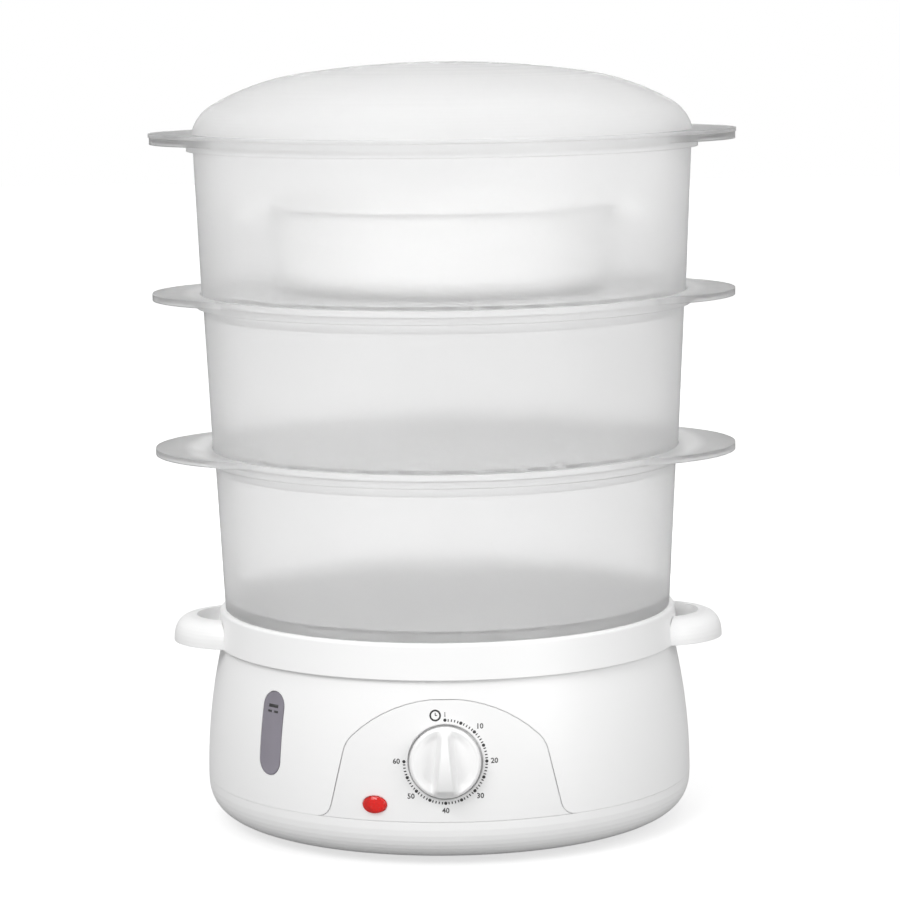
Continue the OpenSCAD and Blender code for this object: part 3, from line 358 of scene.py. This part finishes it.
# %% [markdown]
# ## Dressing the CAD model
# Most parts of the real steamer are plain mouldings and pressings, so the CAD solids can be shown
# as they are, each in its own finish. They could be made again as meshes, but then every fit would
# have to be kept twice. One table says which finish goes on which node.

# %% Give each CAD node its finish
FINISHES = {
    "bottom_pan outer_housing water_tank": base_white,
    "control_panel": panel_white,
    "rice_bowl": bowl_white,
    "turbo_ring cord_gland": gland_white,
    "terminal_block timer_cam thermostat": fitting_cream,
    "lamp_holder": holder_black,
    "basket_1 basket_2 basket_3": clear_basket,
    "lid": frosted_lid,
    "drip_tray": tray_clear,
    "gauge_window": window_grey,
    "lamp_lens": lens_red,
    "neon_lamp": lamp_glass,
    "case_screws timer_screws terminal_screws heater_nuts timer_spindle": zinc,
    "heater_plate heater_clamp timer_plate timer_case timer_bell": stainless,
    "heater_tube": burnt_steel,
    "thermal_fuse timer_barrel timer_gears timer_contacts": brass,
    "feet": foot_grey,
    "gauge_seal heater_seal": seal_grey,
    "wiring": lead_brown,
    "timer_knob": knob_white,
}
for names, material in FINISHES.items():
    for name in names.split():
        mesh = frame["nodes"][name].data
        mesh.materials.clear()
        mesh.materials.append(material)
print("nodes left bare:", [n for n, o in frame["nodes"].items() if o.data.materials[0] is None])

# %% [markdown]
# ## Pieces
# The knob's face, the ink and the panel's joint have forms too soft or too thin for the CAD model.
# Each is a mesh made in code, given a finish, and hung on the body that it moves with.


# %% Add a piece
def add_piece(name, bm, material, body):
    """Turns a bmesh into a piece that rides on a body."""
    bmesh.ops.recalc_face_normals(bm, faces=bm.faces)
    mesh = bpy.data.meshes.new(name)
    bm.to_mesh(mesh)
    bm.free()
    mesh.shade_smooth()
    mesh.materials.append(material)
    piece = bpy.data.objects.new(name, mesh)
    bpy.context.scene.collection.objects.link(piece)
    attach(piece, body)
    print(name, len(mesh.vertices), "points")
    return piece


# %% [markdown]
# ## The knob
# The real knob is one moulding: a disc whose face is scooped on both sides of a finger grip that
# tapers towards the top. It could be cut from primitives, but the soft hollows are easier as a
# height over every point of a disc: a low dome, a rim step, two hollows and the ridge, all blended
# with smooth steps. The disc is a polar net of points, drawn closer towards the rim, and closed
# with a skirt and a flat underside.

# %% Knob sizes, from the CAD knob and the timer's joint
timer_joint = next(j for j in frame["joints"] if j["name"] == "timer_turn")
knob_axis = Vector(timer_joint["axis"])
knob_centre = Vector(timer_joint["pos_m"])
knob_right = Vector((1.0, 0.0, 0.0))
knob_up = (-knob_axis).cross(knob_right)
knob_frame = Matrix((knob_right, knob_up, -knob_axis)).transposed().to_4x4()
knob_frame.translation = knob_centre
knob_low, knob_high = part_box("timer_knob")
KNOB_R = (knob_high.x - knob_low.x) / 2
KNOB_BACK = -1.6 * MM
FACE_H = 6.0 * MM
CROWN = 1.4 * MM
GRIP_OUT = 7.5 * MM
GRIP_ARC = 30 * MM
GRIP_L = 29.4 * MM
GRIP_W = 10.4 * MM
GRIP_TOP_W = 4.2 * MM
GRIP_SUNK = 0.6 * MM
GRIP_END_OUT = 1.2 * MM
GRIP_END_W = 3.5 * MM
FILLET = 3.0 * MM
HOLLOW = 1.9 * MM
HOLLOW_W = 4.2 * MM
HOLLOW_FADE = 4 * MM
EDGE_R = 1.6 * MM
RIM_AT = 15.4 * MM
RIM_STEP = 0.3 * MM
RIM_STEP_W = 0.8 * MM
print("knob radius", round(KNOB_R / MM, 2), "mm")


# %% Knob height
def smooth(x):
    """0 below 0, 1 above 1, and an even S between."""
    x = min(max(x, 0.0), 1.0)
    return x * x * (3 - 2 * x)


def knob_height(x, y):
    """How far the knob's face stands out at a point, y up along the grip."""
    r = math.hypot(x, y)
    along = min(max(y / GRIP_L + 0.5, 0.0), 1.0)
    half = (GRIP_W + (GRIP_TOP_W - GRIP_W) * along) / 2
    face = FACE_H - CROWN * (r / KNOB_R) ** 2
    from_hollow = (abs(x) - half - FILLET) / HOLLOW_W
    face -= HOLLOW * math.exp(-(from_hollow**2)) * smooth((RIM_AT - r) / HOLLOW_FADE)
    face -= RIM_STEP * smooth((RIM_AT - r) / RIM_STEP_W) - RIM_STEP
    ridge_top = FACE_H + GRIP_OUT - GRIP_ARC + math.sqrt(GRIP_ARC**2 - y * y)
    side = smooth((half + FILLET / 2 - abs(x)) / FILLET)
    end = smooth((GRIP_L / 2 + GRIP_END_OUT - abs(y)) / GRIP_END_W)
    height = face + (ridge_top - GRIP_SUNK - face) * side * end
    if r > KNOB_R - EDGE_R:
        over = (r - KNOB_R + EDGE_R) / EDGE_R
        height -= EDGE_R * (1 - math.sqrt(max(0.0, 1 - over * over)))
    return height


print("grip stands", round(knob_height(0, 0) / MM, 2), "mm out")


# %% Knob mesh
RINGS = 56
SPOKES = 144
CROWDING = 1.15
bm = bmesh.new()
rings = []
for i in range(1, RINGS + 1):
    share = i / RINGS
    r = KNOB_R * (1 - (1 - share) ** CROWDING)
    rings.append([])
    for k in range(SPOKES):
        turn = 2 * math.pi * k / SPOKES
        x, y = r * math.cos(turn), r * math.sin(turn)
        rings[-1].append(bm.verts.new((x, y, knob_height(x, y))))
skirt = [bm.verts.new((v.co.x, v.co.y, KNOB_BACK)) for v in rings[-1]]
rings.append(skirt)
middle = bm.verts.new((0, 0, knob_height(0, 0)))
for k in range(SPOKES):
    n = (k + 1) % SPOKES
    bm.faces.new((middle, rings[0][k], rings[0][n]))
    for inner, outer in zip(rings, rings[1:]):
        bm.faces.new((inner[k], outer[k], outer[n], inner[n]))
bm.faces.new(skirt)
bm.transform(knob_frame)
knob = add_piece("knob", bm, knob_white, "knob")
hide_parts("timer_knob")

# %% [markdown]
# ## Printing on a curved panel
# Ink follows the wall it is printed on. It could be an image, but a thin mesh stays sharp at any
# distance. Each mark is drawn flat, as seen from the front, and every point is then cast back onto
# the CAD surface and lifted by the thickness of the ink. This works on any wall, so the dial and
# the level marks share it.


# %% Cast flat marks onto a CAD node
INK_T = 0.06 * MM
INK_ROOT = 0.5
CAST_FROM = 100 * MM
UP = Vector((0, 0, 1))


def surface_of(name):
    """A CAD node's surface, ready for rays to be cast at it."""
    bm = bmesh.new()
    bm.from_mesh(frame["nodes"][name].data)
    tree = BVHTree.FromBMesh(bm)
    bm.free()
    return tree


def print_on(tree, bm, across, up, towards, centre):
    """Moves flat points (x across, y up, z out) onto the surface behind them."""
    for v in bm.verts:
        start = centre + across * v.co.x + up * v.co.y - towards * CAST_FROM
        hit, normal, _, _ = tree.ray_cast(start, towards)
        if normal.dot(towards) > 0:
            normal = -normal
        v.co = hit + normal * (INK_T * (1 if v.co.z > 0 else -INK_ROOT))


def add_outline(bm, points):
    """A flat closed outline, as a thin slab from z = -1 to z = 1."""
    low = [bm.verts.new((x, y, -1)) for x, y in points]
    high = [bm.verts.new((x, y, 1)) for x, y in points]
    bm.faces.new(low[::-1])
    bm.faces.new(high)
    for i in range(len(points)):
        j = (i + 1) % len(points)
        bm.faces.new((low[i], low[j], high[j], high[i]))


def dot(cx, cy, r, sides=20):
    """The corners of a small round."""
    steps = [2 * math.pi * k / sides for k in range(sides)]
    return [(cx + r * math.cos(a), cy + r * math.sin(a)) for a in steps]


def dash(cx, cy, length, width, turn):
    """A thin rectangle whose long side points along turn."""
    c, s = math.cos(turn), math.sin(turn)
    corners = [(-1, -1), (1, -1), (1, 1), (-1, 1)]
    halves = [(i * length / 2, j * width / 2) for i, j in corners]
    return [(cx + u * c - v * s, cy + u * s + v * c) for u, v in halves]


# %% Ink
WORN_LIGHTER = 0.05


def ink(name, shade):
    finish = Finish(name)
    worn = finish.noise(per_metre=2500.0, detail=3.0)
    return finish.surface(
        Base_Color=finish.blend(worn, grey(shade), grey(shade + WORN_LIGHTER)),
        Roughness=0.4 + worn * 0.2,
    )


black_ink = ink("black_ink", 0.01)
grey_ink = ink("grey_ink", 0.05)
print("inks made")

# %% [markdown]
# ## The dial
# A minute scale runs clockwise from twelve o'clock to nine o'clock: a dot every five minutes, a
# short dash for each minute between them, and a number every ten. A plain clock face beside the
# zero mark says what is being set. The marks could be placed one by one, but angles worked out
# from the knob's 270 degree range stay true to the way it turns.

# %% Dial scale
SCALE_R = 19.25 * MM
NUMBER_R = 22.8 * MM
DIAL_SPAN = 270.0
MINUTES = 60
DOT_EVERY = 5
DOT_R = 0.76 * MM
DASH_L = 1.15 * MM
DASH_W = 0.5 * MM
dial_turn = [90.0 - DIAL_SPAN * m / MINUTES for m in range(MINUTES + 1)]
front = Vector((0, 1, 0))
panel = surface_of("control_panel")
dial_centre = Vector((0, knob_centre.y, knob_centre.z))


def on_dial(radius, degrees):
    a = math.radians(degrees)
    return radius * math.cos(a), radius * math.sin(a)


bm = bmesh.new()
for minute, degrees in enumerate(dial_turn):
    x, y = on_dial(SCALE_R, degrees)
    if minute % DOT_EVERY == 0:
        add_outline(bm, dot(x, y, DOT_R))
    else:
        add_outline(bm, dash(x, y, DASH_L, DASH_W, math.radians(degrees)))
print_on(panel, bm, knob_right, UP, front, dial_centre)
add_piece("dial_scale", bm, black_ink, "base")


# %% Dial numbers
NUMBER_H = 2.4 * MM
NUMBER_EVERY = 10
NUMERAL_SHARE = 0.7
BOLDER = 0.03
WELD = 1e-7


def add_text(bm, words, height, cx, cy):
    """Adds Blender's own plain lettering, centred on a point, as a thin slab."""
    curve = bpy.data.curves.new("words", "FONT")
    curve.body = words
    curve.size = height / NUMERAL_SHARE
    curve.align_x, curve.align_y = "CENTER", "CENTER"
    curve.extrude = 0.5
    curve.resolution_u = 2
    curve.offset = height * BOLDER
    holder = bpy.data.objects.new("words", curve)
    bpy.context.scene.collection.objects.link(holder)
    graph = bpy.context.evaluated_depsgraph_get()
    mesh = bpy.data.meshes.new_from_object(holder.evaluated_get(graph))
    mesh.transform(Matrix.Translation((cx, cy, 0)))
    bm.from_mesh(mesh)
    bpy.data.objects.remove(holder)
    bpy.data.meshes.remove(mesh)


bm = bmesh.new()
for minute in range(NUMBER_EVERY, MINUTES + 1, NUMBER_EVERY):
    x, y = on_dial(NUMBER_R, dial_turn[minute])
    add_text(bm, str(minute), NUMBER_H, x, y)
bmesh.ops.remove_doubles(bm, verts=bm.verts, dist=WELD)
print_on(panel, bm, knob_right, UP, front, dial_centre)
add_piece("dial_numbers", bm, grey_ink, "base")

# %% Clock face and zero mark
CLOCK_AT = (-4.5 * MM, 21.4 * MM)
CLOCK_R = 2.3 * MM
CLOCK_LINE = 0.8 * MM
CLOCK_SIDES = 40
LONG_HAND, LONG_HAND_UP = 1.3 * MM, 0.6 * MM
SHORT_HAND, SHORT_HAND_OUT = 0.9 * MM, 0.45 * MM
HAND_W = 0.4 * MM
ZERO_R = SCALE_R + 2.6 * MM
ZERO_L = 2.2 * MM
ZERO_W = 0.35 * MM
UPRIGHT = math.pi / 2
bm = bmesh.new()
outer = dot(*CLOCK_AT, CLOCK_R + CLOCK_LINE / 2, CLOCK_SIDES)
inner = dot(*CLOCK_AT, CLOCK_R - CLOCK_LINE / 2, CLOCK_SIDES)
layers = [[bm.verts.new((x, y, z)) for x, y in loop] for z in (-1, 1) for loop in (outer, inner)]
low_out, low_in, high_out, high_in = layers
for k in range(len(outer)):
    n = (k + 1) % len(outer)
    bm.faces.new((high_out[k], high_out[n], high_in[n], high_in[k]))
    bm.faces.new((low_in[k], low_in[n], low_out[n], low_out[k]))
    bm.faces.new((low_out[k], low_out[n], high_out[n], high_out[k]))
    bm.faces.new((high_in[k], high_in[n], low_in[n], low_in[k]))
add_outline(bm, dash(CLOCK_AT[0], CLOCK_AT[1] + LONG_HAND_UP, LONG_HAND, HAND_W, UPRIGHT))
add_outline(bm, dash(CLOCK_AT[0] + SHORT_HAND_OUT, CLOCK_AT[1], SHORT_HAND, HAND_W, 0))
print_on(panel, bm, knob_right, UP, front, dial_centre)
add_piece("clock_mark", bm, black_ink, "base")

bm = bmesh.new()
add_outline(bm, dash(0, ZERO_R, ZERO_L, ZERO_W, UPRIGHT))
print_on(panel, bm, knob_right, UP, front, dial_centre)
add_piece("zero_mark", bm, grey_ink, "base")

# %% [markdown]
# ## The joint round the panel
# The panel drops into the housing with a joint 0.3 mm wide. It shows as a soft pale line, since
# light gets into a real joint, whose edges are rounded. The CAD edges are sharp and the joint
# comes out black, so a thin pale strip lies in it, just below the surface, as painted light. Its
# outline is worked out from the same arch, shoulder and flare as the CAD, and set back from the
# wall's arc.

# %% Joint strip
LINE_Z = 22.5 * MM
WALL_R = 119.7 * MM
WALL_ARC = 282 * MM
ARCH_R, ARCH_Z = 62 * MM, LINE_Z - 4.5 * MM
SHOULDER_R = 16 * MM
FLARE_R = 7 * MM
LEAN = math.radians(13.2)
FLARE_FROM = 262
SHOULDER_TO = 45
ARCH_FROM = 50
JOINT_W = 0.3 * MM
JOINT_DEEP = 0.3 * MM
JOINT_T = 0.3 * MM
JOINT_PLAY = 0.02 * MM


def arc_points(centre, radius, start, end, steps):
    """Points along an arc, its ends in degrees."""
    turns = [math.radians(start + (end - start) * i / steps) for i in range(steps + 1)]
    return [(centre[0] + radius * math.cos(a), centre[1] + radius * math.sin(a)) for a in turns]


def panel_half(inset):
    """The right half of the panel's outline, from its foot up to the middle."""
    reach = (ARCH_R - SHOULDER_R) * math.sin(math.radians(SHOULDER_TO))
    shoulder = (reach, ARCH_Z + reach)
    top_x = shoulder[0] + SHOULDER_R * math.cos(LEAN)
    top_z = shoulder[1] + SHOULDER_R * math.sin(LEAN)
    flare_z = LINE_Z + FLARE_R
    flare = (top_x + (top_z - flare_z) * math.tan(LEAN) + FLARE_R / math.cos(LEAN), flare_z)
    lean = math.degrees(LEAN)
    return (
        arc_points(flare, FLARE_R + inset, FLARE_FROM, 180 + lean, 8)
        + arc_points(shoulder, SHOULDER_R - inset, lean, SHOULDER_TO, 8)
        + arc_points((0, ARCH_Z), ARCH_R - inset, ARCH_FROM, 90, 16)
    )


def on_wall(x, z, deep):
    """The point on the front wall at that x and z, set back by deep."""
    radius = WALL_R - WALL_ARC + math.sqrt(WALL_ARC**2 - (z - LINE_Z) ** 2) - deep
    return (x, -math.sqrt(radius**2 - x * x), z)


bm = bmesh.new()
for side in (1, -1):
    rows = []
    for inset in (JOINT_PLAY, JOINT_W - JOINT_PLAY):
        for deep in (JOINT_DEEP, JOINT_DEEP + JOINT_T):
            rows.append([bm.verts.new(on_wall(side * x, z, deep)) for x, z in panel_half(inset)])
    outer_top, outer_low, inner_top, inner_low = rows
    loops = (outer_top, inner_top, inner_low, outer_low)
    for i in range(len(outer_top) - 1):
        for first, second in zip(loops, loops[1:] + loops[:1]):
            bm.faces.new((first[i], first[i + 1], second[i + 1], second[i]))
    bm.faces.new([loop[0] for loop in loops])
    bm.faces.new([loop[-1] for loop in loops])
# The strip's pale grey is painted light in the joint.
add_piece("panel_joint", bm, joint_painted_light, "base")

# %% [markdown]
# ## Level marks
# The window on the tank carries a short printed block at the full line: one bar over two short
# ones. They could lie on the window as flat slabs, but it is curved, so they are cast onto it as
# the dial was onto the panel, this time from the window's own side.

# %% Level marks
GAUGE_TURN = math.radians(-45)
window_low, window_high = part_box("gauge_window")
gauge_out = Vector((math.sin(GAUGE_TURN), -math.cos(GAUGE_TURN), 0))
gauge_across = Vector((math.cos(GAUGE_TURN), math.sin(GAUGE_TURN), 0))
gauge_mid = (window_low.z + window_high.z) / 2
gauge_centre = gauge_out * abs(knob_centre.y) + Vector((0, 0, gauge_mid))
window = surface_of("gauge_window")
FULL_UP, FULL_L, FULL_W = 13.0 * MM, 6.4 * MM, 1.5 * MM
SHORT_UP, SHORT_L, SHORT_W, SHORT_OUT = 10.4 * MM, 2.6 * MM, 1.0 * MM, 2.2 * MM
bm = bmesh.new()
add_outline(bm, dash(0, FULL_UP, FULL_L, FULL_W, 0))
for side in (-1, 1):
    add_outline(bm, dash(side * SHORT_OUT, SHORT_UP, SHORT_L, SHORT_W, 0))
print_on(window, bm, gauge_across, UP, -gauge_out, gauge_centre)
add_piece("level_marks", bm, black_ink, "base")

# %% [markdown]
# ## Studio
# A white sweep and big soft lights, as a catalogue photographer would set up. The camera sees the
# world and floor as white, while the light that really falls on the steamer stays at a plain
# level, so the white base keeps its soft greys. A brighter world alone would do for the white, but
# it would wash the greys out. The floor's own glow grows away from the steamer, which hides the
# horizon and leaves the shadow near it.

# %% World
WORLD_LIGHT = 0.57
world = bpy.data.worlds.new("studio")
bpy.context.scene.world = world
world.use_nodes = True
tree = world.node_tree
tree.nodes.clear()
path = tree.nodes.new("ShaderNodeLightPath")
background = tree.nodes.new("ShaderNodeBackground")
output = tree.nodes.new("ShaderNodeOutputWorld")
seen = tree.nodes.new("ShaderNodeMath")
seen.operation = "MAXIMUM"
level = tree.nodes.new("ShaderNodeMapRange")
level.inputs["To Min"].default_value = WORLD_LIGHT
level.inputs["To Max"].default_value = 1.0
background.inputs["Color"].default_value = (1, 1, 1, 1)
tree.links.new(path.outputs["Is Camera Ray"], seen.inputs[0])
tree.links.new(path.outputs["Is Transmission Ray"], seen.inputs[1])
tree.links.new(seen.outputs[0], level.inputs["Value"])
tree.links.new(level.outputs["Result"], background.inputs["Strength"])
tree.links.new(background.outputs["Background"], output.inputs["Surface"])
print("world lights the steamer at", WORLD_LIGHT)

# %% Floor
FLOOR_HALF = 6.0
FLOOR_CELLS = 8
GLOW_NEAR = 0.68
GLOW_FAR = 0.85
GLOW_FROM = 0.2
GLOW_TO = 0.9
GLOW_THROUGH = 0.95
bm = bmesh.new()
bmesh.ops.create_grid(bm, x_segments=FLOOR_CELLS, y_segments=FLOOR_CELLS, size=FLOOR_HALF)
mesh = bpy.data.meshes.new("floor")
bm.to_mesh(mesh)
bm.free()
floor = bpy.data.objects.new("floor", mesh)
bpy.context.scene.collection.objects.link(floor)

sweep = Finish("sweep")
camera_ray = sweep.add("ShaderNodeLightPath", out="Is Camera Ray")
through_ray = sweep.add("ShaderNodeLightPath", out="Is Transmission Ray")
paper = sweep.noise(per_metre=40.0, detail=3.0)
away = sweep.add("ShaderNodeVectorMath", {"operation": "LENGTH"}, {0: sweep.place}, "Value")
limits = {"Value": away, "From Min": GLOW_FROM, "From Max": GLOW_TO}
far = sweep.add("ShaderNodeMapRange", {}, limits)
glow = sweep.blend(far, grey(GLOW_NEAR), grey(GLOW_FAR))
mesh.materials.append(
    sweep.surface(
        Base_Color=sweep.blend(paper, grey(0.38), grey(0.4)),
        Roughness=0.8,
        Emission_Color=sweep.blend(camera_ray + through_ray * GLOW_THROUGH, grey(0.0), glow),
        Emission_Strength=1.0,
    )
)
print("floor of", FLOOR_HALF * 2, "m")

# %% Lights
LIT_POINT = Vector((0, 0, 0.2))
SHEETS_SEEN_THROUGH = 24


def soft_box(name, place, width, height, watts):
    """A rectangular lamp that faces the middle of the steamer."""
    data = bpy.data.lights.new(name, "AREA")
    data.shape = "RECTANGLE"
    data.size, data.size_y = width, height
    data.energy = watts
    light = bpy.data.objects.new(name, data)
    bpy.context.scene.collection.objects.link(light)
    light.location = place
    light.rotation_euler = (LIT_POINT - Vector(place)).to_track_quat("-Z", "Y").to_euler()


soft_box("key", place=(-0.9, -1.5, 1.5), width=1.2, height=1.2, watts=25)
soft_box("fill", place=(1.3, -1.3, 0.7), width=1.0, height=1.4, watts=11)
soft_box("top", place=(0, 0.1, 1.7), width=1.4, height=1.4, watts=8)
bpy.context.scene.cycles.transparent_max_bounces = SHEETS_SEEN_THROUGH
bpy.context.scene.view_settings.view_transform = "Standard"
print("lights ready")
